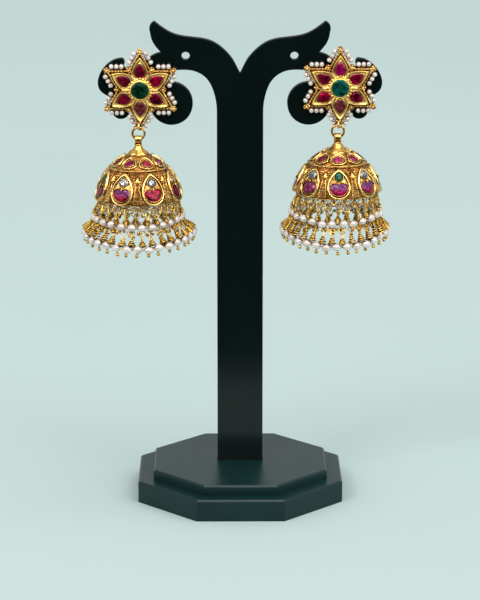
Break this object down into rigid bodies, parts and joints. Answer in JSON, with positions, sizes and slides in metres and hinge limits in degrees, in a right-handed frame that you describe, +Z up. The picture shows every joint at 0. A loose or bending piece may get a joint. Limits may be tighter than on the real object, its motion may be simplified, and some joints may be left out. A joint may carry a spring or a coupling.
{
  "type": "jhumka earrings on display stand",
  "caption": "Pair of gold bell earrings with star studs, red and green stones and pearl fringes, hanging on a black sheet stand with an octagonal base",
  "frame": {"origin": "the centre of the underside of the base", "axes": "+Z up, -Y towards the viewer of the studs, +X to that viewer's right"},
  "size_m": [0.0927, 0.062, 0.1451],
  "materials": {
    "stand_black": "satin black",
    "gold": "worn yellow gold",
    "ruby": "polished red stone",
    "emerald": "polished green stone",
    "polki": "clear cut stone with two green ones",
    "pearl": "lustrous white with a pink tint"
  },
  "bodies": {
    "stand": {"base_lower_tier": "stand_black", "base_upper_tier": "stand_black", "stand_plate": "stand_black", "left_star_frame": "gold", "left_star_emerald": "emerald", "left_star_ruby_1": "ruby", "left_star_ruby_2": "ruby", "left_star_ruby_3": "ruby", "left_star_ruby_4": "ruby", "left_star_ruby_5": "ruby", "left_star_ruby_6": "ruby", "left_star_pearls": "pearl", "left_ear_post": "gold", "right_star_frame": "gold", "right_star_emerald": "emerald", "right_star_ruby_1": "ruby", "right_star_ruby_2": "ruby", "right_star_ruby_3": "ruby", "right_star_ruby_4": "ruby", "right_star_ruby_5": "ruby", "right_star_ruby_6": "ruby", "right_star_pearls": "pearl", "right_ear_post": "gold"},
    "left_ring": {"left_jump_ring": "gold"},
    "left_drop": {"left_bell": "gold", "left_bell_ruby_1": "ruby", "left_bell_ruby_2": "ruby", "left_bell_ruby_3": "ruby", "left_bell_ruby_4": "ruby", "left_bell_ruby_5": "ruby", "left_bell_ruby_6": "ruby", "left_bell_ruby_7": "ruby", "left_bell_ruby_8": "ruby", "left_bell_upper_stones": "polki", "left_bell_cap_rubies": "ruby", "left_upper_net": "gold", "left_upper_pearl_row": "pearl", "left_lower_net": "gold", "left_lower_pearl_row": "pearl", "left_gold_drops": "gold"},
    "right_ring": {"right_jump_ring": "gold"},
    "right_drop": {"right_bell": "gold", "right_bell_ruby_1": "ruby", "right_bell_ruby_2": "ruby", "right_bell_ruby_3": "ruby", "right_bell_ruby_4": "ruby", "right_bell_ruby_5": "ruby", "right_bell_ruby_6": "ruby", "right_bell_ruby_7": "ruby", "right_bell_ruby_8": "ruby", "right_bell_upper_stones": "polki", "right_bell_cap_rubies": "ruby", "right_upper_net": "gold", "right_upper_pearl_row": "pearl", "right_lower_net": "gold", "right_lower_pearl_row": "pearl", "right_gold_drops": "gold"}
  },
  "joints": [
    {"name": "left_ring_swing", "type": "hinge", "parent": "stand", "child": "left_ring", "pos_m": [-0.03005, -0.004, 0.1132], "axis": [0, 1, 0], "range_deg": [-8, 20]},
    {"name": "left_bell_swing", "type": "hinge", "parent": "left_ring", "child": "left_drop", "pos_m": [-0.03025, -0.004, 0.1104], "axis": [1, 0, 0], "range_deg": [-45, 45]},
    {"name": "right_ring_swing", "type": "hinge", "parent": "stand", "child": "right_ring", "pos_m": [0.02915, -0.004, 0.1138], "axis": [0, 1, 0], "range_deg": [-20, 8]},
    {"name": "right_bell_swing", "type": "hinge", "parent": "right_ring", "child": "right_drop", "pos_m": [0.02895, -0.004, 0.111], "axis": [1, 0, 0], "range_deg": [-45, 45]}
  ]
}
